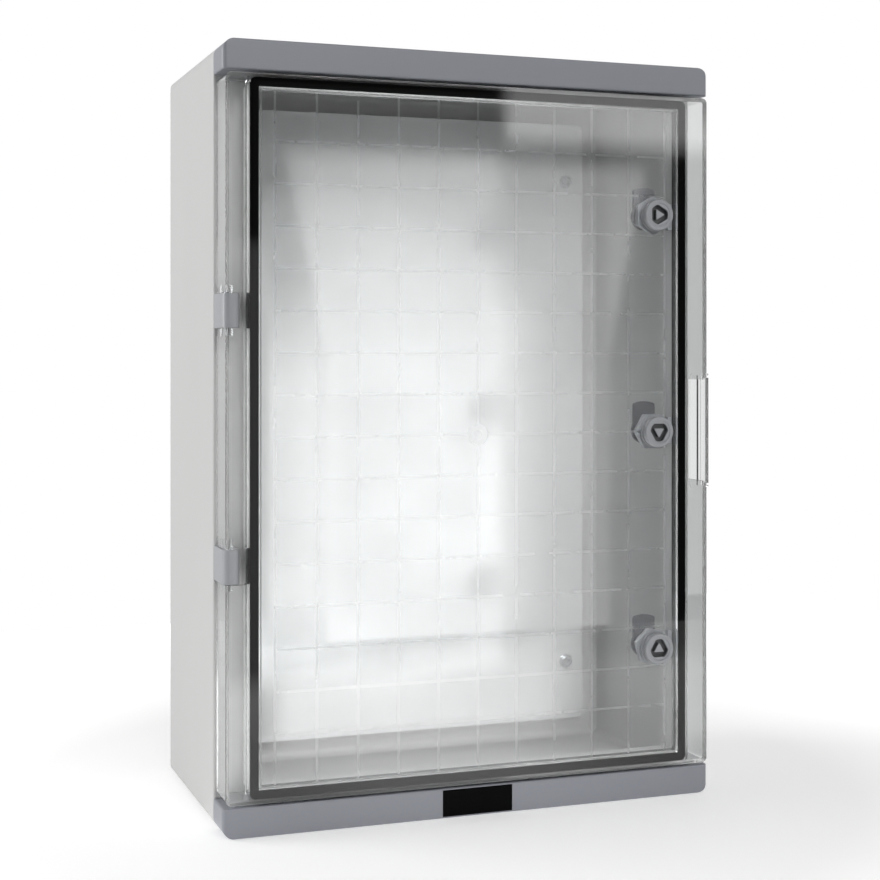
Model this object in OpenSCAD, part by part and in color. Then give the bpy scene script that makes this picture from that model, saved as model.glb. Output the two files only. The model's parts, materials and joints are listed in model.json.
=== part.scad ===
// Wall-mounted electrical distribution box with a clear hinged door.
// Frame: +X to the right, the door faces -Y, +Z up, origin in the middle of the base.
// Depths (t) run backwards from the front of the trim bars.

/* [Enclosure] */
// Height of the enclosure
box_h = 600; // [580:10:660]
// Width of the enclosure
box_w = 408; // [396:4:440]
// Depth from the front of the trim bars to the back face
box_d = 218; // [200:2:250]
// Wall thickness of the moulded body
wall = 3.5; // [3:0.5:4]
// Radius of the body's outer edges
edge_r = 10; // [9:0.5:11]
// Thickness of the flange round the door opening
flange_t = 3; // [2.5:0.5:4]

/* [Trim bars] */
// Height of each trim bar
bar_h = 23.4; // [23:0.2:25]
// Depth of each trim bar
bar_d = 32.7; // [32.5:0.1:34]
// Wall thickness of a trim bar
bar_wall = 3; // [2.5:0.5:3.5]
// Screws in each trim bar
bar_screws = 4; // [2:2:6]
// Width of the nameplate on the bottom bar
nameplate_w = 58; // [40:2:80]

/* [Door] */
// Thickness of the clear front panel
door_t = 3.5; // [3:0.25:4]
// Distance the door's face stands in front of the trim bars
door_proud = 2.5; // [2:0.1:3]
// Gap between the door and each trim bar
door_gap = 2.1; // [1.5:0.1:3]
// Inset of the door from the enclosure's sides
door_inset = 1.9; // [1.5:0.1:2.2]
// Depth of the skirt round the door
skirt_d = 31.5; // [29:0.5:31.5]
// Wall thickness of the skirt
skirt_t = 3; // [2.5:0.25:3]
// Radius of the door's corners
door_r = 5; // [4:0.5:6]
// Radius of the edge round the door's face
door_edge_r = 0.8; // [0.6:0.1:1.5]
// Length of the finger pull on the right edge
pull_h = 91; // [70:1:110]

/* [Seal] */
// Width of the gasket
seal_w = 7; // [6.5:0.5:8]
// Thickness of the gasket's base
seal_t = 5; // [4:0.5:5]
// Distance from the door's side edge to the gasket
seal_margin = 18.8; // [18.6:0.1:20]

/* [Hinges] */
// Distance between the two hinges
hinge_pitch = 192; // [160:4:300]
// Height of a hinge block
hinge_h = 26; // [22:1:30]
// Radius of a hinge pin
pin_r = 2; // [1.75:0.25:2.25]

/* [Locks] */
// Distance of the locks from the middle of the door
lock_x = 154; // [152:0.5:154]
// Distance between neighbouring locks
lock_pitch = 176.5; // [150:0.5:190]
// Radius of a lock's head
lock_r = 12.5; // [12:0.25:13]
// Height of a lock's head above the door
lock_proud = 9; // [9:0.5:11]

/* [Mounting plate] */
// Width of the mounting plate
plate_w = 360; // [330:2:364]
// Height of the mounting plate
plate_h = 552; // [500:2:552]
// Thickness of the mounting plate
plate_t = 2; // [1.5:0.5:3]
// Distance of the plate from the back wall
plate_standoff = 16; // [14:1:40]

/* [Wall fixing] */
// Radius of the fixing holes in the back wall
fix_r = 3.5; // [2.5:0.5:4]

/* [Hidden] */
$fn = 48;

// Colours, as the object shows them
BODY_GREY = [0.80, 0.80, 0.80];
TRIM_GREY = [0.55, 0.56, 0.60];
LOCK_GREY = [0.60, 0.61, 0.63];
CAM_GREY = [0.42, 0.42, 0.43];
CLEAR = [0.85, 0.88, 0.88, 0.35];
RUBBER = [0.08, 0.08, 0.08];
PLATE_BLACK = [0.03, 0.03, 0.03];
ZINC = [0.78, 0.80, 0.82];
BRASS = [0.80, 0.65, 0.30];
STEEL = [0.70, 0.71, 0.73];

// Small gaps and depths shared by several pieces
CUT = 1;
RUNNING_GAP = 0.06;
side_x = box_w / 2;
mid_z = box_h / 2;
proud = door_proud + lock_proud;
y_bar = proud - (box_d + proud) / 2;

// Body
front_r = 2;
inner_r = edge_r - wall;
back_in = box_d - wall;
flange_back = bar_d + flange_t;
body_x = [-side_x, side_x];
body_z = [0, box_h];
fix_x = side_x - 32;
fix_z = 32;
fix_boss_r = 7.5;
fix_boss_h = 3;

// Trim bars
bar_edge_r = 1.5;
bar_end_r = 4;
bar_rib_pitch = 50;
bar_rib_t = 2;
bar_boss_r = 4.5;
bar_screw_r = 1.75;
bar_screw_span = 320;
bar_screw_xs = [for (i = [0 : bar_screws - 1]) bar_screw_span * (i / (bar_screws - 1) - 0.5)];
nameplate_t = 1.2;
nameplate_sink = 0.8;
nameplate_h = bar_h - 2 * bar_edge_r;

// Door
door_x = side_x - door_inset;
door_z = [bar_h + door_gap, box_h - bar_h - door_gap];
door_front = -door_proud;
door_inner = door_front + door_t;
door_back = door_front + skirt_d;
door_in_r = door_r - skirt_t;

// Gasket, the ribs that hold it and the collar that presses on it
rib_t = 2;
rib_d = 7;
seal_x = door_x - seal_margin;
seal_z = [door_z[0] + skirt_t, door_z[1] - skirt_t];
seal_corner_r = 5;
seal_rest_gap = 0.3;
seal_side_gap = 0.15;
seal_lip_w = 4.5;
seal_lip_t = 3;
seal_back = door_inner + seal_t;
collar_inset = 2;
collar_t = 2.6;
collar_x = seal_x - collar_inset;
collar_z = [seal_z[0] + collar_inset, seal_z[1] - collar_inset];
collar_front = seal_back + seal_lip_t + seal_rest_gap;
opening_x = collar_x - collar_t;
opening_z = [collar_z[0] + collar_t, collar_z[1] - collar_t];

// Hinges: the axis lies half-way down the skirt, so the door folds right back
hinge_x = -(side_x - 6.5);
hinge_t = 14.5;
hinge_zs = [mid_z + hinge_pitch / 2, mid_z - hinge_pitch / 2];
block_x = [-(side_x - 0.4), hinge_x + 7];
block_front = door_front + 1;
block_r = 5;
block_sweep_r = norm([block_x[1] - block_r - hinge_x, hinge_t - block_front - block_r]) + block_r + 0.4;
notch_x = hinge_x + 11.3;
notch_gap = 0.5;
lug_r = 3.8;
lug_h = 6;
pin_len = hinge_h + 2 * (notch_gap + lug_h) - 1;
hinge_screw_x = hinge_x + 1.5;
hinge_screw_dz = 7;
hinge_screw_r = 1.75;
hinge_screw_len = 15;

// Mark left by the moulding gate in the middle of the door
gate_r = 8;
gate_d = 0.4;
gate_nub_r = 2.4;

// Finger pull
pull_x = door_x + 1;
pull_lip = 2;
pull_pad_x = pull_x - 17;
pull_slot_x = pull_x - 7.2;
pull_slot_w = 2.8;
pull_slot_d = 3.2;
pull_pad_h = 0.8;
pull_bar_back = 5;
pull_bar_x = pull_x - 8;
pull_end_gap = 2;

// Locks
lock_zs = [mid_z + lock_pitch, mid_z, mid_z - lock_pitch];
lock_key_angles = [90, 180, 0];
nut_angles = [30, 0, 15];
head_face = door_front - lock_proud;
seal_ring_t = 1;
seal_ring_inset = 0.8;
lock_flange_t = 1.5;
lock_flange_r = lock_r + 0.6;
lock_neck_t = 1.2;
lock_neck_r = lock_r - 0.6;
lock_chamfer = 0.8;
barrel_r = 8.9;
barrel_back = 17;
barrel_hole_gap = 0.3;
core_r = 9.4;
core_face = head_face + 0.6;
core_seat = door_front - 1.5;
core_shaft_r = 5;
cam_front = barrel_back + 0.5;
cam_t = 3;
cam_w = 19;
cam_hub_r = 11;
cam_corner_r = 3.5;
cam_reach = opening_x - lock_x - 0.7;
cam_square = 7;
key_recess_r = 8;
key_recess_side = 6.6;
key_recess_d = 5;
key_post_r = 4.6;
key_post_round = 0.4;
key_post_drop = 0.5;
nut_r = 16;
nut_t = 4.5;
nut_gap = 0.05;
cam_screw_r = 2;
cam_screw_head_r = 4.4;
cam_screw_len = 8;
keeper_x = opening_x - 7.2;
keeper_t = [collar_front + 0.2, cam_front - 0.4];
keeper_h = 22;
keeper_lead = [1.8, 4];

// Mounting plate
boss_front = back_in - plate_standoff;
plate_front = boss_front - plate_t;
plate_boss_r = 7;
plate_dx = plate_w / 2 - 17;
plate_dz = plate_h / 2 - 53;
plate_hole_r = 3.2;
plate_corner_r = 6;
insert_r = 3.6;
insert_len = 12;
plate_screw_r = 2.5;
plate_washer_r = 6;
plate_washer_t = 1.2;

// Position along Y of a depth behind the front of the trim bars
function y_at(t) = y_bar + t;

// Corner of an upright triangle, as a unit vector
function tri(i) = [sin(120 * i), cos(120 * i)];

// Takes the sharp corner at (x, y) off a profile; (sx, sy) points inwards
module sharp_corner(x, y, sx, sy, r) {
    if (r > 0)
        translate([x, y])
            difference() {
                translate([sx > 0 ? -CUT : -r, sy > 0 ? -CUT : -r]) square(r + CUT);
                translate([sx * r, sy * r]) circle(r);
            }
}

// Rectangle with a radius at each corner, from the lower left one, anticlockwise
module profile(x, y, r) {
    difference() {
        translate([x[0], y[0]]) square([x[1] - x[0], y[1] - y[0]]);
        sharp_corner(x[0], y[0], 1, 1, r[0]);
        sharp_corner(x[1], y[0], -1, 1, r[1]);
        sharp_corner(x[1], y[1], -1, -1, r[2]);
        sharp_corner(x[0], y[1], 1, -1, r[3]);
    }
}

// Extrusions of a front view over depths, of a plan over heights, of a side view over widths
module along_y(t) {
    translate([0, y_at(t[1]), 0]) rotate([90, 0, 0]) linear_extrude(t[1] - t[0]) children();
}

module along_z(z) {
    translate([0, 0, z[0]]) linear_extrude(z[1] - z[0]) children();
}

module along_x(x) {
    translate([x[0], 0, 0]) rotate([90, 0, 90]) linear_extrude(x[1] - x[0]) children();
}

// Block with rounded upright corners and rounded front and back edges
module moulded_block(x, z, t, r, front, back) {
    y = [y_at(t[0]), y_at(t[1])];
    intersection() {
        along_y(t) profile(x, z, r);
        along_z(z) profile(x, y, [front, front, back, back]);
        along_x(x) profile(y, z, [front, back, back, front]);
    }
}

// Rectangular ring in the front view, lying inside the given outline
module frame(x, z, w, r, t) {
    r_in = max(r - w, 0.5);
    along_y(t)
        difference() {
            profile([-x, x], z, [r, r, r, r]);
            profile([w - x, x - w], [z[0] + w, z[1] - w], [r_in, r_in, r_in, r_in]);
        }
}

// Cylinder along Y between two depths
module rod(r, t) {
    translate([0, y_at(t[0]), 0]) rotate([-90, 0, 0]) cylinder(r = r, h = t[1] - t[0]);
}

// Screw along Y with a socket head; dir is the way its shank points from the seat
module screw(seat, dir, head_r, head_h, r, length) {
    socket_r = 0.55 * head_r;
    translate([0, y_at(seat), 0])
        rotate([-90 * dir, 0, 0])
            difference() {
                union() {
                    translate([0, 0, -head_h]) cylinder(r = head_r, h = head_h);
                    cylinder(r = r, h = length);
                }
                translate([0, 0, -head_h - CUT]) cylinder(r = socket_r, h = 0.6 * head_h + CUT, $fn = 6);
            }
}

// Triangle with round corners, pointing up in the front view
module rounded_triangle(r, c) {
    for (i = [0 : 2]) translate(tri(i) * (r - c)) circle(c);
    polygon([for (i = [0 : 2]) for (k = [0, 1]) tri(i + k) * (r - c) - tri(i + 2) * c]);
}

module at_plate_fixings() {
    for (sx = [-1, 1])
        for (sz = [-1, 1])
            translate([sx * plate_dx, 0, mid_z + sz * plate_dz]) children();
}

module at_wall_fixings() {
    for (x = [-fix_x, fix_x])
        for (z = [fix_z, box_h - fix_z])
            translate([x, 0, z]) children();
}

module at_hinge_screws() {
    for (z = hinge_zs)
        for (s = [-1, 1])
            translate([hinge_screw_x, 0, z + s * hinge_screw_dz]) children();
}

module at_bar_screws(z) {
    for (x = bar_screw_xs) translate([x, 0, z]) children();
}

// Body: deep shell, front flange, collar round the opening, and bosses
module body_shell() {
    full = [edge_r, edge_r, edge_r, edge_r];
    inner = [inner_r, inner_r, inner_r, inner_r];
    in_x = [wall - side_x, side_x - wall];
    in_z = [wall, box_h - wall];
    color(BODY_GREY)
        difference() {
            union() {
                difference() {
                    moulded_block(body_x, body_z, [bar_d, box_d], full, front_r, edge_r);
                    moulded_block(in_x, in_z, [flange_back, back_in], inner, 0, inner_r);
                    along_y([bar_d - CUT, flange_back + CUT])
                        profile([-opening_x, opening_x], opening_z, [1, 1, 1, 1]);
                }
                frame(collar_x, collar_z, collar_t, 3.6, [collar_front, flange_back]);
                at_plate_fixings() rod(plate_boss_r, [boss_front, back_in + CUT]);
                at_wall_fixings() rod(fix_boss_r, [back_in - fix_boss_h, back_in + CUT]);
            }
            at_plate_fixings() rod(insert_r, [boss_front - CUT, boss_front + insert_len]);
            at_wall_fixings() rod(fix_r, [back_in - fix_boss_h - CUT, box_d + CUT]);
            at_hinge_screws() rod(hinge_screw_r + 0.25, [bar_d - CUT, flange_back + CUT]);
            at_bar_screws(bar_h / 2) rod(bar_screw_r + 0.25, [bar_d - CUT, flange_back + CUT]);
            at_bar_screws(box_h - bar_h / 2) rod(bar_screw_r + 0.25, [bar_d - CUT, flange_back + CUT]);
        }
}

// Keepers on the collar, which the cams turn behind; the upper back edge leads a cam in
module lock_keepers() {
    y = [y_at(keeper_t[0]), y_at(keeper_t[1])];
    color(LOCK_GREY)
        for (z = lock_zs) {
            foot = z - keeper_h / 2;
            top = z + keeper_h / 2;
            along_x([keeper_x, opening_x])
                polygon([
                    [y[0], foot], [y[1], foot], [y[1], top - keeper_lead[1]],
                    [y[1] - keeper_lead[0], top], [y[0], top]
                ]);
        }
}

// Trim bar along the foot of the front; the top one is its mirror image
module trim_bar() {
    corners = [edge_r, edge_r, bar_edge_r, bar_edge_r];
    hollow_r = edge_r - bar_wall;
    hollow_x = [bar_wall - side_x, side_x - bar_wall];
    hollow_z = [bar_wall, bar_h - bar_wall];
    ribs = floor(side_x / bar_rib_pitch - 0.5);
    difference() {
        intersection() {
            along_y([0, bar_d]) profile(body_x, [0, bar_h], corners);
            along_z([0, bar_h])
                profile(body_x, [y_at(0), y_at(bar_d)], [bar_end_r, bar_end_r, bar_edge_r, bar_edge_r]);
            along_x(body_x)
                profile([y_at(0), y_at(bar_d)], [0, bar_h], [bar_edge_r, bar_edge_r, 0, bar_edge_r]);
        }
        difference() {
            along_y([bar_wall, bar_d + CUT]) profile(hollow_x, hollow_z, [hollow_r, hollow_r, 0.5, 0.5]);
            at_bar_screws(bar_h / 2) rod(bar_boss_r, [0, bar_d]);
            for (i = [-ribs : ribs])
                translate([(i + 0.5) * bar_rib_pitch - bar_rib_t / 2, y_at(0), 0])
                    cube([bar_rib_t, bar_d - CUT, bar_h]);
        }
        at_bar_screws(bar_h / 2) rod(bar_screw_r, [bar_d - 14, bar_d + CUT]);
    }
}

module bottom_trim_bar() {
    recess_x = nameplate_w / 2 + 0.2;
    recess_z = nameplate_h / 2 + 0.2;
    color(TRIM_GREY)
        difference() {
            trim_bar();
            along_y([-CUT, nameplate_sink])
                profile([-recess_x, recess_x], [bar_h / 2 - recess_z, bar_h / 2 + recess_z], [0, 0, 0, 0]);
        }
}

module top_trim_bar() {
    color(TRIM_GREY) translate([0, 0, box_h]) mirror([0, 0, 1]) trim_bar();
}

module trim_screws() {
    color(STEEL)
        for (z = [bar_h / 2, box_h - bar_h / 2])
            at_bar_screws(z) screw(flange_back, -1, 3.6, 2.4, bar_screw_r, flange_t + 12);
}

// Bare black plate, a little proud of the bar, with bevelled long edges
module nameplate() {
    t = [nameplate_sink - nameplate_t, nameplate_sink];
    half = nameplate_w / 2;
    bevel = nameplate_t - nameplate_sink;
    y = [y_at(t[0]), y_at(t[1])];
    z = [bar_h / 2 - nameplate_h / 2, bar_h / 2 + nameplate_h / 2];
    color(PLATE_BLACK)
        along_x([-half, half])
            polygon([
                [y[0], z[0] + bevel], [y[0], z[1] - bevel], [y[0] + bevel, z[1]],
                [y[1], z[1]], [y[1], z[0]], [y[0] + bevel, z[0]]
            ]);
}

module mounting_plate() {
    half = plate_w / 2;
    z = [mid_z - plate_h / 2, mid_z + plate_h / 2];
    r = plate_corner_r;
    color(ZINC)
        difference() {
            along_y([plate_front, plate_front + plate_t]) profile([-half, half], z, [r, r, r, r]);
            at_plate_fixings() rod(plate_hole_r, [plate_front - CUT, plate_front + plate_t + CUT]);
        }
}

module plate_inserts() {
    color(BRASS)
        at_plate_fixings()
            difference() {
                rod(insert_r, [boss_front, boss_front + insert_len]);
                rod(plate_screw_r, [boss_front - CUT, boss_front + insert_len + CUT]);
            }
}

module plate_washers() {
    color(STEEL)
        at_plate_fixings()
            difference() {
                rod(plate_washer_r, [plate_front - plate_washer_t, plate_front]);
                rod(plate_screw_r, [plate_front - plate_washer_t - CUT, plate_front + CUT]);
            }
}

module plate_screws() {
    length = plate_washer_t + plate_t + insert_len - 1;
    color(STEEL)
        at_plate_fixings() screw(plate_front - plate_washer_t, 1, 4.8, 3.6, plate_screw_r, length);
}

// Hinge block: rises from the flange through the door's notch, with a round nose
module hinge_block(z) {
    half = hinge_h / 2;
    color(LOCK_GREY)
        difference() {
            along_z([z - half, z + half])
                profile(block_x, [y_at(block_front), y_at(bar_d)], [block_r, block_r, 0.5, 0.5]);
            translate([hinge_x, y_at(hinge_t), z - half - CUT]) cylinder(r = pin_r, h = hinge_h + 2 * CUT);
            at_hinge_screws() rod(hinge_screw_r, [bar_d - 12, bar_d + CUT]);
        }
}

module hinge_block_upper() {
    hinge_block(hinge_zs[0]);
}

module hinge_block_lower() {
    hinge_block(hinge_zs[1]);
}

module hinge_pin(z) {
    color(STEEL) translate([hinge_x, y_at(hinge_t), z - pin_len / 2]) cylinder(r = pin_r, h = pin_len);
}

module hinge_pin_upper() {
    hinge_pin(hinge_zs[0]);
}

module hinge_pin_lower() {
    hinge_pin(hinge_zs[1]);
}

module hinge_screws() {
    color(STEEL)
        at_hinge_screws() screw(flange_back, -1, 3.2, 2.2, hinge_screw_r, hinge_screw_len - 1);
}

// Round lugs inside the door's skirt, above and below a hinge block, bored for the pin
module hinge_lugs(z) {
    for (s = [-1, 1]) {
        middle = z + s * (hinge_h / 2 + notch_gap + lug_h / 2);
        translate([hinge_x, y_at(hinge_t), middle]) cylinder(r = lug_r, h = lug_h, center = true);
    }
}

// Finger pull: a lip along the right edge behind a slot, on a low pad
module finger_pull() {
    half = pull_h / 2;
    z = [mid_z - half, mid_z + half];
    color(CLEAR)
        difference() {
            union() {
                along_y([door_front - pull_pad_h, door_inner])
                    profile([pull_pad_x, pull_x], [z[0] - pull_lip, z[1] + pull_lip], [3, 2, 2, 3]);
                along_z(z)
                    profile([pull_bar_x, pull_x], [y_at(door_front - pull_pad_h), y_at(pull_bar_back)],
                            [0, 2.5, 1.5, 1.5]);
            }
            translate([pull_slot_x, y_at(door_front - pull_pad_h) - CUT, z[0] + pull_lip])
                cube([pull_slot_w, pull_slot_d + CUT, pull_h - 2 * pull_lip]);
            for (zz = [z[0], z[1] - pull_end_gap])
                translate([pull_x - 4, y_at(door_front) - 2 * CUT, zz])
                    cube([4 + CUT, pull_bar_back + door_proud + 3 * CUT, pull_end_gap]);
        }
}

// Clear door: dished panel, gasket ribs, hinge lugs and notches, lock holes, gate mark and finger pull
module door_panel() {
    outer = [door_r, door_r, door_r, door_r];
    inner = [door_in_r, door_in_r, door_in_r, door_in_r];
    out_x = [-door_x, door_x];
    in_x = [skirt_t - door_x, door_x - skirt_t];
    outer_z = [seal_z[0] - rib_t, seal_z[1] + rib_t];
    inner_z = [seal_z[0] + seal_w, seal_z[1] - seal_w];
    rib_range = [door_inner - CUT, door_inner + rib_d];
    lock_hole_r = barrel_r + barrel_hole_gap;
    cut_h = pull_h / 2 - 3.5;
    color(CLEAR)
        difference() {
            union() {
                difference() {
                    moulded_block(out_x, door_z, [door_front, door_back], outer, door_edge_r, 0);
                    moulded_block(in_x, seal_z, [door_inner, door_back + CUT], inner, 0, 0);
                    translate([in_x[1] - CUT, y_at(pull_bar_back), mid_z - cut_h])
                        cube([skirt_t + 2 * CUT, door_back, 2 * cut_h]);
                }
                frame(seal_x + rib_t, outer_z, rib_t, seal_corner_r + rib_t, rib_range);
                frame(seal_x - seal_w, inner_z, rib_t, 0.6, rib_range);
                for (z = hinge_zs) hinge_lugs(z);
                finger_pull();
            }
            for (z = hinge_zs) {
                half = hinge_h / 2 + notch_gap;
                translate([-door_x - CUT, y_at(door_front) - CUT, z - half])
                    cube([notch_x + door_x + CUT, skirt_d + 2 * CUT, 2 * half]);
                translate([hinge_x, y_at(hinge_t), z - half]) cylinder(r = block_sweep_r, h = 2 * half);
                translate([hinge_x, y_at(hinge_t), z - half - lug_h - CUT])
                    cylinder(r = pin_r + RUNNING_GAP, h = 2 * (half + lug_h + CUT));
            }
            for (z = lock_zs)
                translate([lock_x, 0, z]) rod(lock_hole_r, [door_front - CUT, door_inner + CUT]);
            translate([0, 0, mid_z])
                difference() {
                    rod(gate_r, [door_front - CUT, door_front + gate_d]);
                    rod(gate_nub_r, [door_front, door_front + gate_d + CUT]);
                }
        }
}

// Gasket, glued to the floor of its channel with air at the sides; the collar presses on its inner lip
module door_gasket() {
    gap = seal_side_gap;
    inset = seal_w - gap - seal_lip_w;
    base_z = [seal_z[0] + gap, seal_z[1] - gap];
    lip_z = [seal_z[0] + inset, seal_z[1] - inset];
    lip_range = [seal_back - CUT, seal_back + seal_lip_t];
    color(RUBBER)
        union() {
            frame(seal_x - gap, base_z, seal_w - 2 * gap, seal_corner_r - gap, [door_inner, seal_back]);
            frame(seal_x - inset, lip_z, seal_lip_w, seal_corner_r - inset, lip_range);
        }
}

// Lock housing: flanged head with a groove, and a barrel through the door
module lock_housing(z) {
    flange_front = door_front - seal_ring_t - lock_flange_t;
    neck_front = flange_front - lock_neck_t;
    color(LOCK_GREY)
        translate([lock_x, y_at(0), z])
            rotate([-90, 0, 0])
                rotate_extrude()
                    polygon([
                        [core_r + RUNNING_GAP, head_face],
                        [lock_r - lock_chamfer, head_face],
                        [lock_r, head_face + lock_chamfer],
                        [lock_r, neck_front],
                        [lock_neck_r, neck_front],
                        [lock_neck_r, flange_front],
                        [lock_flange_r, flange_front],
                        [lock_flange_r, door_front - seal_ring_t],
                        [barrel_r, door_front - seal_ring_t],
                        [barrel_r, barrel_back],
                        [core_shaft_r + RUNNING_GAP, barrel_back],
                        [core_shaft_r + RUNNING_GAP, core_seat],
                        [core_r + RUNNING_GAP, core_seat]
                    ]);
}

module lock_seal(z) {
    color(RUBBER)
        translate([lock_x, 0, z])
            difference() {
                rod(lock_flange_r - seal_ring_inset, [door_front - seal_ring_t, door_front]);
                rod(barrel_r, [door_front - seal_ring_t - CUT, door_front + CUT]);
            }
}

module lock_nut(z, angle) {
    color(LOCK_GREY)
        translate([lock_x, y_at(door_inner + nut_gap), z])
            rotate([-90, 0, 0])
                difference() {
                    rotate(angle) cylinder(r = nut_r, h = nut_t, $fn = 6);
                    translate([0, 0, -CUT]) cylinder(r = barrel_r, h = nut_t + 2 * CUT);
                }
}

// Outline of the keyhole: a triangle with its corners cut off by a circle
module key_recess() {
    intersection() {
        circle(key_recess_r);
        polygon([for (i = [0 : 2]) tri(i) * 2 * key_recess_side]);
    }
}

// Lock core: keyed face, shaft through the barrel, square end for the cam
module lock_core(z, key_angle) {
    floor_t = core_face + key_recess_d;
    color(LOCK_GREY)
        translate([lock_x, 0, z])
            difference() {
                union() {
                    difference() {
                        rod(core_r, [core_face, core_seat - RUNNING_GAP]);
                        rotate([0, key_angle, 0]) along_y([core_face - CUT, floor_t]) key_recess();
                    }
                    rotate([0, key_angle, 0])
                        along_y([core_face + key_post_drop, floor_t + CUT / 2])
                            rounded_triangle(key_post_r, key_post_round);
                    rod(core_shaft_r, [core_seat - CUT, cam_front]);
                    translate([-cam_square / 2, y_at(cam_front) - CUT, -cam_square / 2])
                        cube([cam_square, cam_t + CUT, cam_square]);
                }
                rod(cam_screw_r, [cam_front + cam_t - cam_screw_len, cam_front + cam_t + CUT]);
            }
}

// Cam: a flat arm with a square hole, its tip round the lock's axis
module lock_cam(z) {
    corners = [0, 0, cam_corner_r, cam_corner_r];
    color(CAM_GREY)
        translate([lock_x, 0, z])
            along_y([cam_front, cam_front + cam_t])
                difference() {
                    intersection() {
                        union() {
                            circle(cam_hub_r);
                            profile([-cam_w / 2, cam_w / 2], [0, cam_reach], corners);
                        }
                        circle(cam_reach);
                    }
                    square(cam_square, center = true);
                }
}

module cam_screw(z) {
    color(STEEL)
        translate([lock_x, 0, z])
            screw(cam_front + cam_t, -1, cam_screw_head_r, 2.6, cam_screw_r, cam_screw_len);
}

body_shell();
lock_keepers();
top_trim_bar();
bottom_trim_bar();
trim_screws();
nameplate();
mounting_plate();
plate_inserts();
plate_washers();
plate_screws();
hinge_block_upper();
hinge_block_lower();
hinge_pin_upper();
hinge_pin_lower();
hinge_screws();
door_panel();
door_gasket();
lock_housing(lock_zs[0]);  // lock_housing_upper
lock_housing(lock_zs[1]);  // lock_housing_middle
lock_housing(lock_zs[2]);  // lock_housing_lower
lock_seal(lock_zs[0]);  // lock_seal_upper
lock_seal(lock_zs[1]);  // lock_seal_middle
lock_seal(lock_zs[2]);  // lock_seal_lower
lock_nut(lock_zs[0], nut_angles[0]);  // lock_nut_upper
lock_nut(lock_zs[1], nut_angles[1]);  // lock_nut_middle
lock_nut(lock_zs[2], nut_angles[2]);  // lock_nut_lower
lock_core(lock_zs[0], lock_key_angles[0]);  // lock_core_upper
lock_core(lock_zs[1], lock_key_angles[1]);  // lock_core_middle
lock_core(lock_zs[2], lock_key_angles[2]);  // lock_core_lower
lock_cam(lock_zs[0]);  // lock_cam_upper
lock_cam(lock_zs[1]);  // lock_cam_middle
lock_cam(lock_zs[2]);  // lock_cam_lower
cam_screw(lock_zs[0]);  // cam_screw_upper
cam_screw(lock_zs[1]);  // cam_screw_middle
cam_screw(lock_zs[2]);  // cam_screw_lower
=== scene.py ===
"""Looks of a wall-mounted distribution box with a clear door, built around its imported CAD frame.

Everything is in metres in the CAD frame: +X to the right, the door faces -Y, +Z up.
"""
import json
import math
from collections import namedtuple

import bmesh
import bpy
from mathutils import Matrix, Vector


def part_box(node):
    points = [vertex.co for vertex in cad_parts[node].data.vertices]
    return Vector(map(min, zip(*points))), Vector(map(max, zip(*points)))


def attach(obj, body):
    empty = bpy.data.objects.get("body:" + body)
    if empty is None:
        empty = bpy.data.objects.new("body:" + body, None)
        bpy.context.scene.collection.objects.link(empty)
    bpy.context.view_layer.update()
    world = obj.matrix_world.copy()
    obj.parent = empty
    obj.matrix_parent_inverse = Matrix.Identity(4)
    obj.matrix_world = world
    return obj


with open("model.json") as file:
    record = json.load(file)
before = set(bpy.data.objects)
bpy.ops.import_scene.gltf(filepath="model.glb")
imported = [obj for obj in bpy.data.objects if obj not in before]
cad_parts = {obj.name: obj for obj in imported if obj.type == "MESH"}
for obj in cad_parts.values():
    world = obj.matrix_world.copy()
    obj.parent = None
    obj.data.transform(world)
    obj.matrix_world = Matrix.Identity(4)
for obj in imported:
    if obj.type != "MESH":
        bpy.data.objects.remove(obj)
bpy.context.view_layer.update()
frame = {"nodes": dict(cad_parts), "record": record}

MM = 0.001
INWARD = Vector((0, 1, 0))
WHITE = (1, 1, 1, 1)

# Level camera, as fitted to the photograph's edges
CAMERA_PLACE = (-0.470, -1.32085, 0.3648)
CAMERA_TURN = (math.radians(90), 0, math.radians(-19.80))
CAMERA_LENS = 67.8
CAMERA_SENSOR = 36.0
CAMERA_SHIFT_Y = -0.1

# Moulded grid on the inner face of the door: low ridges, counted from the middle to each side.
# It starts GRID_INSET inside the gasket's outer edge and stands GRID_GAP clear of the face.
GRID_PITCH_X = 32.8 * MM
GRID_PITCH_Z = 32.0 * MM
GRID_COLUMNS = 5
GRID_ROWS = 7
GRID_WIDTH = 1.8 * MM
GRID_HEIGHT = 0.05 * MM
GRID_INSET = 9.8 * MM
GRID_GAP = 0.02 * MM
ARCH_STEPS = 8

# Mark of the moulding gate in the middle of the door's inner face: a round ridge.
# The grid stops GATE_REACH short of its middle.
GATE_RADIUS = 6.0 * MM
GATE_WIDTH = 4.6 * MM
GATE_HEIGHT = 0.25 * MM
GATE_REACH = 8.6 * MM
GATE_STEPS = 48

# Painted shade in the keyholes: they darken to a share of the colour, between two depths behind the face
# of a lock's core
KEYHOLE_SHADE = (0.7 * MM, 2.5 * MM)
KEYHOLE_DARK = 0.2

# Shares of the lamps' light that pass through the door: its panel, its rim over the gasket's
# channel, which spans RIM_START to RIM_END in X, and its top and bottom edges, EDGE_DEPTH deep
RIM_START = (0.174, 0.180)
RIM_END = (0.198, 0.200)
EDGE_DEPTH = (5 * MM, 4 * MM)
PANEL_PASSES = 0.90
RIM_PASSES = 0.52
EDGE_PASSES = 0.05

# Counts of a ray's bounces: below HALF_BOUNCE there has been none, and below DOOR_PASSES the ray
# has met the two faces of one clear sheet at most
HALF_BOUNCE = 0.5
DOOR_PASSES = 2.5

# Studio light from in front and from behind, for plain surfaces and as metal and glass show it.
# SHEET_SHOWS is the share of the white backdrop in what one clear sheet shows of the back.
STUDIO_FRONT = 0.09
STUDIO_BEHIND = 0.50
FRONT_IN_GLASS = 0.05
BACKDROP_IN_GLASS = 0.60
SHEET_SHOWS = 0.6

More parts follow.
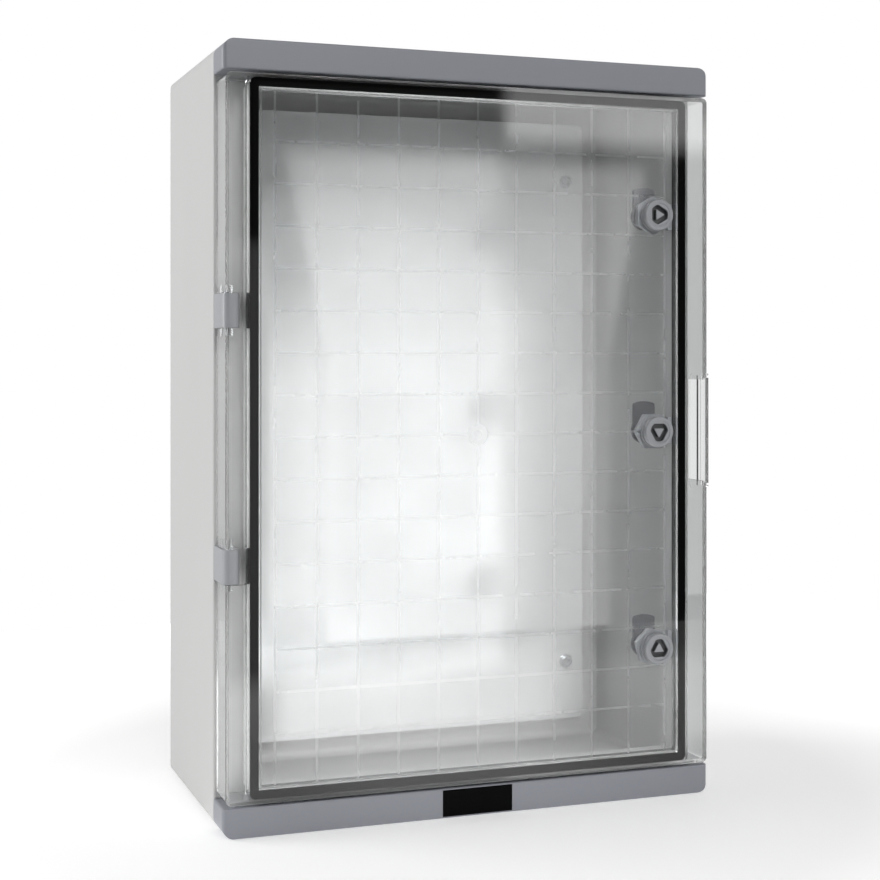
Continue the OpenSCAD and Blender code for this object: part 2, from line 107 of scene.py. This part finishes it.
# Y of a ray's direction, between the front light and the one from behind, and the least share
# that counts as forward when slopes are worked out
STUDIO_TURN = (-0.40, 0.40)
GLASS_TURN = (-0.75, -0.10)
LEAST_FORWARD = 0.01

# Bright panels in front, which metal and glass show. Each edge is a pair of slopes from straight
# ahead, between which the panel fades, and flare moves the sides apart above the horizon.
# A door_only panel shows in the door itself, and not in what is seen through it.
Panel = namedtuple("Panel", "level left right bottom top flare door_only")
NO_LOW = (-9.0, -8.0)
NO_HIGH = (8.0, 9.0)
PANELS = (
    # A wide panel and its brighter middle, which the mounting plate mirrors too
    Panel(0.85, (0.260, 0.278), (0.46, 0.51), NO_LOW, (0.115, 0.135), 0.0, False),
    Panel(0.92, (0.265, 0.310), (0.41, 0.50), NO_LOW, (-0.06, 0.100), 0.0, False),
    # A strip at the door's left margin
    Panel(0.65, (0.190, 0.200), (0.242, 0.252), NO_LOW, (0.064, 0.072), 0.0, False),
    # The upper right corner, and the softbox with its flared sides
    Panel(3.10, (0.400, 0.412), NO_HIGH, (0.130, 0.145), NO_HIGH, 0.0, True),
    Panel(1.60, (0.282, 0.288), (0.476, 0.484), NO_LOW, (0.116, 0.130), 0.22, True),
    # The softbox's lower left, and its soft right side
    Panel(3.10, (0.2455, 0.2495), (0.272, 0.300), (-0.178, -0.150), (-0.02, 0.045), 0.0, True),
    Panel(1.50, (0.380, 0.402), (0.412, 0.437), (-0.190, -0.170), (0.02, 0.050), 0.0, True),
)

# White table: its glow to the camera grows with the distance from the object
FLOOR_SIZE = 1.8
FLOOR_DROP = 0.5 * MM
FLOOR_COLOUR = (0.72, 0.72, 0.72, 1)
FLOOR_ROUGH = 0.9
FLOOR_FADE = (0.35, 0.8)
FLOOR_GLOW = (0.45, 1.0)

# The table's front, from FLOOR_FAR to FLOOR_NEAR in Y, gives light: one level for plain surfaces,
# three from left to right in X for metal and glass, one through the door, and a dim one elsewhere
FLOOR_FAR = (-0.75, -0.60)
FLOOR_NEAR = (-0.15, 0.0)
FLOOR_LIT = 0.50
FLOOR_LEFT_IN_GLASS = 1.20
FLOOR_MIDDLE_IN_GLASS = 1.85
FLOOR_RIGHT_IN_GLASS = 0.75
FLOOR_MIDDLE_START = (-0.12, -0.04)
FLOOR_MIDDLE_END = (0.08, 0.24)
FLOOR_TO_INSIDE = 2.00
FLOOR_DIM = 0.10

# Bright patch of the table, which only the door mirrors. Its sides are slopes from an apex behind
# the door, and its far edge slants by a share of X.
PATCH_LEVEL = 3.85
PATCH_APEX = (-0.470, 1.104)
PATCH_LEFT = (0.245, 0.262)
PATCH_RIGHT = (0.430, 0.475)
PATCH_SLANT = 0.60
PATCH_FAR = (-0.75, -0.58)
PATCH_NEAR = (-0.455, -0.325)

Lamp = namedtuple("Lamp", "name place target size power")
LAMPS = (
    Lamp("side_soft", (-2.2, 0.7, 0.9), (-0.2, 0, 0.3), (1.4, 1.4), 34),
    Lamp("front_soft", (-0.05, -2.2, 1.5), (0, -0.1, 0.3), (1.2, 0.8), 21),
)

# The range of a noise texture that holds most of its values
NOISE_RANGE = (0.3, 0.7)

# Colour sockets of a Mix node, whose names repeat for each type of data
MIX_DARK = 6
MIX_LIGHT = 7
MIX_RESULT = 2

BEVEL_SAMPLES = 4


def math_node(tree, operation, first, second):
    """Output of a Math node; each operand is an output or a number."""
    made = tree.nodes.new("ShaderNodeMath")
    made.operation = operation
    for socket, value in zip(made.inputs, (first, second)):
        if isinstance(value, bpy.types.NodeSocket):
            tree.links.new(value, socket)
        else:
            socket.default_value = value
    return made.outputs["Value"]


def product(tree, *factors):
    """Output that multiplies all factors."""
    total = factors[0]
    for factor in factors[1:]:
        total = math_node(tree, "MULTIPLY", total, factor)
    return total


def map_range(tree, value, source, target):
    """Output of a Map Range node from one pair of numbers to another, which may be outputs."""
    made = tree.nodes.new("ShaderNodeMapRange")
    sockets = ("From Min", "From Max", "To Min", "To Max")
    tree.links.new(value, made.inputs["Value"])
    for key, number in zip(sockets, source + target):
        if isinstance(number, bpy.types.NodeSocket):
            tree.links.new(number, made.inputs[key])
        else:
            made.inputs[key].default_value = number
    return made.outputs["Result"]


def rising(tree, value, edge):
    """0 before an edge and 1 after it; the edge is a pair of numbers between which it fades."""
    return map_range(tree, value, edge, (0.0, 1.0))


def falling(tree, value, edge):
    """1 before an edge and 0 after it."""
    return map_range(tree, value, edge, (1.0, 0.0))


def choose(tree, factor, at_zero, at_one):
    """One level where a factor is 0, another where it is 1, and a mix between."""
    return map_range(tree, factor, (0.0, 1.0), (at_zero, at_one))


class Surface:
    """A material with one Principled shader, and short ways to texture it in object space."""

    def __init__(self, name, **inputs):
        self.material = bpy.data.materials.new(name)
        self.material.use_nodes = True
        self.tree = self.material.node_tree
        self.shader = self.tree.nodes["Principled BSDF"]
        self.place = None
        for key, value in inputs.items():
            self.shader.inputs[key.replace("_", " ")].default_value = value

    def node(self, kind, inputs=(), **settings):
        """Adds a node; inputs pairs sockets with constants or with outputs to link."""
        made = self.tree.nodes.new("ShaderNode" + kind)
        for key, value in settings.items():
            setattr(made, key, value)
        for key, value in dict(inputs).items():
            if isinstance(value, bpy.types.NodeSocket):
                self.tree.links.new(value, made.inputs[key])
            else:
                made.inputs[key].default_value = value
        return made

    def feed(self, key, output):
        """Links an output to a socket of the shader."""
        self.tree.links.new(output, self.shader.inputs[key])

    def coordinates(self, stretch=(1, 1, 1)):
        """Object coordinates, scaled; a small number makes a texture longer along that axis."""
        if self.place is None:
            self.place = self.node("TexCoord").outputs["Object"]
        if tuple(stretch) == (1, 1, 1):
            return self.place
        return self.node("Mapping", {"Vector": self.place, "Scale": stretch}).outputs["Vector"]

    def axes(self):
        """X, Y and Z of the object coordinates."""
        return self.node("SeparateXYZ", {"Vector": self.coordinates()}).outputs

    def noise(self, size, detail=2.0, stretch=(1, 1, 1)):
        """Cloudy noise whose patches are about size metres across."""
        inputs = {"Vector": self.coordinates(stretch), "Scale": 1 / size, "Detail": detail}
        return self.node("TexNoise", inputs).outputs["Fac"]

    def cells(self, size):
        """Crystal-like cells, each with its own grey."""
        made = self.node("TexVoronoi", {"Vector": self.coordinates(), "Scale": 1 / size})
        return self.node("SeparateColor", {"Color": made.outputs["Color"]}).outputs["Red"]

    def grade(self, factor, dark, light):
        """Base colour that runs from dark to light with a factor."""
        inputs = {"Factor": factor, MIX_DARK: (*dark, 1), MIX_LIGHT: (*light, 1)}
        self.feed("Base Color", self.node("Mix", inputs, data_type="RGBA").outputs[MIX_RESULT])

    def tint(self, factor, colour, amount):
        """Base colour that varies with a factor around one colour."""
        dark = [c * (1 - amount) for c in colour]
        light = [min(c * (1 + amount), 1) for c in colour]
        self.grade(factor, dark, light)

    def roughen(self, factor, low, high):
        """Roughness that varies with the middle range of a factor."""
        self.feed("Roughness", map_range(self.tree, factor, NOISE_RANGE, (low, high)))

    def relief(self, height, depth, strength=1.0, edge=0.0):
        """Bump from a height factor; edge rounds hard edges over that radius."""
        inputs = {"Height": height, "Distance": depth, "Strength": strength}
        if edge:
            bevel = self.node("Bevel", {"Radius": edge}, samples=BEVEL_SAMPLES)
            inputs["Normal"] = bevel.outputs["Normal"]
        self.feed("Normal", self.node("Bump", inputs).outputs["Normal"])

    def mould(self, rough, grain, edge):
        """Fine eroded texture and softened edges of moulded plastic."""
        texture = self.noise(size=grain, detail=3.0)
        self.roughen(texture, low=rough - 0.06, high=rough + 0.06)
        self.relief(texture, depth=0.06 * MM, strength=0.5, edge=edge)


def moulded_plastic(name, colour, rough, grain=1.0 * MM, edge=0.5 * MM):
    """Matt moulded plastic with faint flow marks."""
    made = Surface(name)
    flow = made.noise(size=90 * MM, detail=3.0, stretch=(1, 1, 0.4))
    made.tint(flow, colour, amount=0.025)
    made.mould(rough, grain, edge)
    return made.material


def keyhole_shaded_plastic(name, colour, rough, grain, edge):
    """Moulded plastic of a lock's core, with painted shade that darkens the inside of the keyhole."""
    made = Surface(name)
    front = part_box("lock_core_upper")[0].y
    # Painted shade: the colour darkens with depth behind the core's face, where shade falls in the
    # keyhole
    unshaded_share = falling(made.tree, made.axes()["Y"], tuple(front + d for d in KEYHOLE_SHADE))
    made.grade(unshaded_share, dark=[c * KEYHOLE_DARK for c in colour], light=colour)
    made.mould(rough, grain, edge)
    return made.material


def metal(name, colour, rough):
    """Plated or turned metal with a fine grain."""
    made = Surface(name, Metallic=1.0)
    cloud = made.noise(size=9 * MM, detail=3.0)
    made.tint(cloud, colour, amount=0.06)
    texture = made.noise(size=0.6 * MM)
    made.roughen(texture, low=rough - 0.08, high=rough + 0.08)
    made.relief(texture, depth=0.02 * MM, strength=0.5, edge=0.3 * MM)
    return made.material


def zinc_plate(name, colour):
    """Galvanised sheet: spangle cells, cloudy sheen, faint rolling lines."""
    made = Surface(name, Metallic=0.40)
    spangle = made.cells(size=14 * MM)
    made.tint(spangle, colour, amount=0.02)
    cloud = made.noise(size=60 * MM, detail=3.0)
    made.roughen(cloud, low=0.16, high=0.24)
    rolling = made.noise(size=1.5 * MM, stretch=(1, 1, 0.03))
    made.relief(rolling, depth=0.01 * MM, strength=0.4)
    return made.material


def rubber(name, colour):
    """Closed-cell sealing foam: nearly black, with a pitted skin."""
    made = Surface(name, Specular_IOR_Level=0.12)
    pits = made.noise(size=0.8 * MM, detail=4.0)
    made.tint(pits, colour, amount=0.4)
    made.roughen(pits, low=0.65, high=0.9)
    made.relief(pits, depth=0.12 * MM, strength=0.6)
    return made.material


def gloss_black(name, colour):
    """Polished black plate with faint haze."""
    made = Surface(name, Specular_IOR_Level=0.02)
    haze = made.noise(size=14 * MM, detail=4.0)
    made.tint(haze, colour, amount=0.3)
    made.roughen(haze, low=0.12, high=0.20)
    ripple = made.noise(size=4 * MM)
    made.relief(ripple, depth=0.01 * MM, strength=0.3, edge=0.4 * MM)
    return made.material


def lamp_light_share(surface):
    """Share of the lamps' light that passes through the door, by place on it."""
    tree = surface.tree
    low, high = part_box("door_panel")
    place = surface.axes()
    sideways = math_node(tree, "ABSOLUTE", place["X"], 0.0)
    rim = product(tree, rising(tree, sideways, RIM_START), falling(tree, sideways, RIM_END))
    share = choose(tree, rim, PANEL_PASSES, RIM_PASSES)
    for edge in (tuple(low.z + d for d in EDGE_DEPTH), tuple(high.z - d for d in EDGE_DEPTH)):
        share = map_range(tree, place["Z"], edge, (share, EDGE_PASSES))
    return share


def clear_plastic(name):
    """Polished clear plastic that lets lamps light what is behind it."""
    made = Surface(name, Base_Color=(0.975, 0.985, 0.985, 1), IOR=1.5, Transmission_Weight=1.0)
    haze = made.noise(size=40 * MM, detail=3.0)
    made.roughen(haze, low=0.015, high=0.035)
    ripple = made.noise(size=120 * MM, detail=1.0)
    made.relief(ripple, depth=0.008 * MM, strength=0.3)
    shadow = made.node("BsdfTransparent", {"Color": lamp_light_share(made)})
    mix = made.node("MixShader", {
        "Fac": made.node("LightPath").outputs["Is Shadow Ray"],
        1: made.shader.outputs["BSDF"],
        2: shadow.outputs["BSDF"],
    })
    output = made.tree.nodes["Material Output"]
    made.tree.links.new(mix.outputs["Shader"], output.inputs["Surface"])
    return made.material


def frosted_lines(name):
    """Matt moulded lines in clear plastic: they scatter some light and pass the rest."""
    made = Surface(name, Base_Color=(0.97, 0.975, 0.975, 1), IOR=1.15, Transmission_Weight=0.975)
    grain = made.noise(size=12 * MM)
    made.roughen(grain, low=0.25, high=0.35)
    return made.material


# Grey of the hinges and locks, and the finish of the locks' small parts
FITTING_GREY = (0.37, 0.38, 0.40)
LOCK_FINISH = {"rough": 0.34, "grain": 0.7 * MM, "edge": 0.35 * MM}
CAM_FINISH = {**LOCK_FINISH, "rough": 0.42}

# A look for each material slot of the record, and two for pieces that differ from their slot
MATERIALS = {
    "grid_lines": frosted_lines("grid_lines"),
    "body_grey": moulded_plastic("body_grey", (0.60, 0.60, 0.595), rough=0.46),
    "trim_grey": moulded_plastic("trim_grey", (0.28, 0.29, 0.325), rough=0.42),
    "hinge_grey": moulded_plastic("hinge_grey", FITTING_GREY, rough=0.36),
    "lock_grey": moulded_plastic("lock_grey", FITTING_GREY, **LOCK_FINISH),
    "lock_core": keyhole_shaded_plastic("lock_core", FITTING_GREY, **LOCK_FINISH),
    "cam_grey": moulded_plastic("cam_grey", (0.15, 0.15, 0.16), **CAM_FINISH),
    "clear_plastic": clear_plastic("clear_plastic"),
    "rubber": rubber("rubber", (0.006, 0.006, 0.006)),
    "nameplate_black": gloss_black("nameplate_black", (0.002, 0.002, 0.0023)),
    "zinc_sheet": zinc_plate("zinc_sheet", (0.80, 0.805, 0.81)),
    "steel": metal("steel", (0.62, 0.63, 0.65), rough=0.32),
    "brass": metal("brass", (0.70, 0.52, 0.24), rough=0.30),
}


def dress_cad_nodes():
    """Gives each CAD node the material of its slot in the record, and the locks' cores their own, with
    painted shade in the keyholes.
    """
    for part in frame["record"]["subparts"]:
        obj = frame["nodes"][part["node"]]
        look = "lock_core" if part["node"].startswith("lock_core") else part["material_slot"]
        material = MATERIALS[look]
        if not obj.material_slots:
            obj.data.materials.append(material)
        for slot in obj.material_slots:
            slot.material = material


def add_piece(name, build, body, look):
    """Makes a mesh piece from a function that fills a bmesh, riding on a body."""
    mesh = bpy.data.meshes.new(name)
    shape = bmesh.new()
    build(shape)
    bmesh.ops.recalc_face_normals(shape, faces=shape.faces)
    shape.to_mesh(mesh)
    shape.free()
    obj = bpy.data.objects.new(name, mesh)
    bpy.context.scene.collection.objects.link(obj)
    mesh.materials.append(MATERIALS[look])
    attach(obj, body)


def arch(shape, place, across, width, height):
    """Points of a soft hump that stands on the inner face of the door."""
    points = []
    for i in range(ARCH_STEPS + 1):
        share = i / ARCH_STEPS
        swell = (1 - math.cos(2 * math.pi * share)) / 2
        offset = across * ((share - 0.5) * width) + INWARD * (swell * height)
        points.append(shape.verts.new(place + offset))
    return points


def join_arches(shape, first, last):
    """Smooth back and flat foot of a ridge between two arches."""
    for i in range(ARCH_STEPS):
        face = shape.faces.new((first[i], first[i + 1], last[i + 1], last[i]))
        face.smooth = True
    foot = shape.faces.new((first[0], last[0], last[ARCH_STEPS], first[ARCH_STEPS]))
    for edge in foot.edges:
        edge.smooth = False


def ridge(shape, start, end, across):
    """A low round-backed ridge of the grid from start to end."""
    start, end, across = (Vector(v) for v in (start, end, across))
    first, last = (arch(shape, point, across, GRID_WIDTH, GRID_HEIGHT) for point in (start, end))
    join_arches(shape, first, last)
    shape.faces.new(first)
    shape.faces.new(last)


def door_grid(shape):
    """Upright ridges on the inner face of the door, and level ones between them.

    The middle ones leave room for the gate mark.
    """
    gasket_low, gasket_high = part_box("door_gasket")
    foot = gasket_low.z + GRID_INSET
    top = gasket_high.z - GRID_INSET
    middle = (gasket_low.z + gasket_high.z) / 2
    face = gasket_low.y + GRID_GAP
    for i in range(-GRID_COLUMNS, GRID_COLUMNS + 1):
        x = i * GRID_PITCH_X
        stretches = [(foot, top)]
        if i == 0:
            stretches = [(foot, middle - GATE_REACH), (middle + GATE_REACH, top)]
        for start, end in stretches:
            ridge(shape, (x, face, start), (x, face, end), (1, 0, 0))
    for i in range(-GRID_ROWS, GRID_ROWS + 1):
        z = middle + i * GRID_PITCH_Z
        for column in range(-GRID_COLUMNS, GRID_COLUMNS):
            left_inset = GATE_REACH if (i, column) == (0, 0) else GRID_WIDTH / 2
            right_inset = GATE_REACH if (i, column) == (0, -1) else GRID_WIDTH / 2
            left = column * GRID_PITCH_X + left_inset
            right = (column + 1) * GRID_PITCH_X - right_inset
            ridge(shape, (left, face, z), (right, face, z), (0, 0, 1))


def gate_mark(shape):
    """A round ridge where the door was filled in its mould."""
    low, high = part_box("door_gasket")
    middle = Vector((0, low.y + GRID_GAP, (low.z + high.z) / 2))
    arches = []
    for i in range(GATE_STEPS):
        angle = 2 * math.pi * i / GATE_STEPS
        outward = Vector((math.cos(angle), 0, math.sin(angle)))
        place = middle + outward * GATE_RADIUS
        arches.append(arch(shape, place, outward, GATE_WIDTH, GATE_HEIGHT))
    for i in range(GATE_STEPS):
        join_arches(shape, arches[i - 1], arches[i])


def add_lamp(lamp):
    """Soft rectangular lamp aimed at a point."""
    light = bpy.data.lights.new(lamp.name, "AREA")
    light.shape = "RECTANGLE"
    light.size, light.size_y = lamp.size
    light.energy = lamp.power
    obj = bpy.data.objects.new(lamp.name, light)
    obj.location = lamp.place
    aim = Vector(lamp.target) - Vector(lamp.place)
    obj.rotation_euler = aim.to_track_quat("-Z", "Y").to_euler()
    bpy.context.scene.collection.objects.link(obj)


def at_door(tree, path):
    """1 for a ray that has met one clear sheet at most."""
    return math_node(tree, "LESS_THAN", path["Transmission Depth"], DOOR_PASSES)


def mirrored_or_bent(tree, path):
    """1 for a ray that metal or glass sends on."""
    return math_node(tree, "MAXIMUM", path["Is Glossy Ray"], path["Is Transmission Ray"])


def before_diffuse(tree, path):
    """1 for a ray that no matt surface has scattered yet."""
    return math_node(tree, "LESS_THAN", path["Diffuse Depth"], HALF_BOUNCE)


def in_view(tree, path, depth):
    """1 for what the camera sees, also straight through clear sheets.

    To the back, where depth is positive, one sheet shows a part of it and more sheets none.
    """
    bounces = math_node(tree, "ADD", path["Glossy Depth"], path["Diffuse Depth"])
    straight = math_node(tree, "LESS_THAN", bounces, HALF_BOUNCE)
    dimmed = product(tree, at_door(tree, path), SHEET_SHOWS)
    to_back = math_node(tree, "GREATER_THAN", depth, 0.0)
    share = choose(tree, to_back, straight, dimmed)
    through = product(tree, path["Is Transmission Ray"], share)
    return math_node(tree, "MAXIMUM", path["Is Camera Ray"], through)


def panel_light(tree, panel, across, upward, path):
    """Light of one panel in the direction with these slopes."""
    spread = product(tree, math_node(tree, "MAXIMUM", upward, 0.0), panel.flare)
    light = product(
        tree,
        rising(tree, math_node(tree, "ADD", across, spread), panel.left),
        falling(tree, math_node(tree, "SUBTRACT", across, spread), panel.right),
        rising(tree, upward, panel.bottom),
        falling(tree, upward, panel.top),
        panel.level,
    )
    if panel.door_only:
        light = product(tree, light, at_door(tree, path))
    return light


def set_world():
    """White backdrop to the camera; to everything else a studio, pale behind and dim in front."""
    world = bpy.data.worlds.new("studio")
    bpy.context.scene.world = world
    world.use_nodes = True
    tree = world.node_tree
    background = tree.nodes["Background"]
    background.inputs["Color"].default_value = WHITE
    path = tree.nodes.new("ShaderNodeLightPath").outputs
    separate = tree.nodes.new("ShaderNodeSeparateXYZ")
    coordinates = tree.nodes.new("ShaderNodeTexCoord")
    tree.links.new(coordinates.outputs["Generated"], separate.inputs["Vector"])
    direction = separate.outputs
    forward = math_node(tree, "MAXIMUM", product(tree, direction["Y"], -1.0), LEAST_FORWARD)
    across = math_node(tree, "DIVIDE", direction["X"], forward)
    upward = math_node(tree, "DIVIDE", direction["Z"], forward)
    front = FRONT_IN_GLASS
    for panel in PANELS:
        front = math_node(tree, "ADD", panel_light(tree, panel, across, upward, path), front)
    plain = map_range(tree, direction["Y"], STUDIO_TURN, (STUDIO_FRONT, STUDIO_BEHIND))
    shown = map_range(tree, direction["Y"], GLASS_TURN, (front, BACKDROP_IN_GLASS))
    bent = product(tree, mirrored_or_bent(tree, path), before_diffuse(tree, path))
    studio = choose(tree, bent, plain, shown)
    level = choose(tree, in_view(tree, path, direction["Y"]), studio, 1.0)
    tree.links.new(level, background.inputs["Strength"])


def floor_patch(tree, place, path):
    """Light of the patch of the table that the door mirrors."""
    apex_x, apex_y = PATCH_APEX
    from_apex = math_node(tree, "SUBTRACT", place["X"], apex_x)
    sideways = math_node(tree, "DIVIDE", from_apex, math_node(tree, "SUBTRACT", apex_y, place["Y"]))
    slanted = math_node(tree, "ADD", place["Y"], product(tree, place["X"], PATCH_SLANT))
    return product(
        tree,
        rising(tree, sideways, PATCH_LEFT),
        falling(tree, sideways, PATCH_RIGHT),
        rising(tree, slanted, PATCH_FAR),
        falling(tree, place["Y"], PATCH_NEAR),
        at_door(tree, path),
        before_diffuse(tree, path),
        path["Is Glossy Ray"],
        PATCH_LEVEL,
    )


def floor_light(tree, place, path):
    """Light of the table to everything but the camera."""
    shown = map_range(tree, place["X"], FLOOR_MIDDLE_START, (FLOOR_LEFT_IN_GLASS, FLOOR_MIDDLE_IN_GLASS))
    shown = map_range(tree, place["X"], FLOOR_MIDDLE_END, (shown, FLOOR_RIGHT_IN_GLASS))
    light = choose(tree, mirrored_or_bent(tree, path), FLOOR_LIT, shown)
    scattered = math_node(tree, "GREATER_THAN", path["Diffuse Depth"], HALF_BOUNCE)
    from_inside = product(tree, path["Is Transmission Ray"], scattered)
    light = choose(tree, from_inside, light, FLOOR_TO_INSIDE)
    light = map_range(tree, place["Y"], FLOOR_FAR, (FLOOR_DIM, light))
    light = map_range(tree, place["Y"], FLOOR_NEAR, (light, FLOOR_DIM))
    return math_node(tree, "ADD", light, floor_patch(tree, place, path))


def add_floor():
    """White table that keeps the shadow near the object and fades into the backdrop further out."""
    bpy.ops.mesh.primitive_plane_add(size=FLOOR_SIZE, location=(0, 0, -FLOOR_DROP))
    floor = bpy.context.object
    floor.name = "floor"
    surface = Surface("floor", Base_Color=FLOOR_COLOUR, Roughness=FLOOR_ROUGH, Emission_Color=WHITE)
    tree = surface.tree
    place = surface.axes()
    path = surface.node("LightPath").outputs
    distance = surface.node("VectorMath", {0: surface.coordinates()}, operation="LENGTH")
    glow = map_range(tree, distance.outputs["Value"], FLOOR_FADE, FLOOR_GLOW)
    light = floor_light(tree, place, path)
    surface.feed("Emission Strength", choose(tree, in_view(tree, path, place["Y"]), light, glow))
    floor.data.materials.append(surface.material)


def add_camera():
    """Camera at the photograph's viewing angle."""
    camera = bpy.data.cameras.new("camera")
    camera.sensor_width = CAMERA_SENSOR
    camera.lens = CAMERA_LENS
    camera.shift_y = CAMERA_SHIFT_Y
    obj = bpy.data.objects.new("camera", camera)
    obj.location = CAMERA_PLACE
    obj.rotation_euler = CAMERA_TURN
    bpy.context.scene.collection.objects.link(obj)
    bpy.context.scene.camera = obj


dress_cad_nodes()
add_piece("door_grid", door_grid, "door", "grid_lines")
add_piece("gate_mark", gate_mark, "door", "grid_lines")
add_camera()
set_world()
add_floor()
for lamp in LAMPS:
    add_lamp(lamp)
bpy.context.scene.view_settings.view_transform = "Standard"
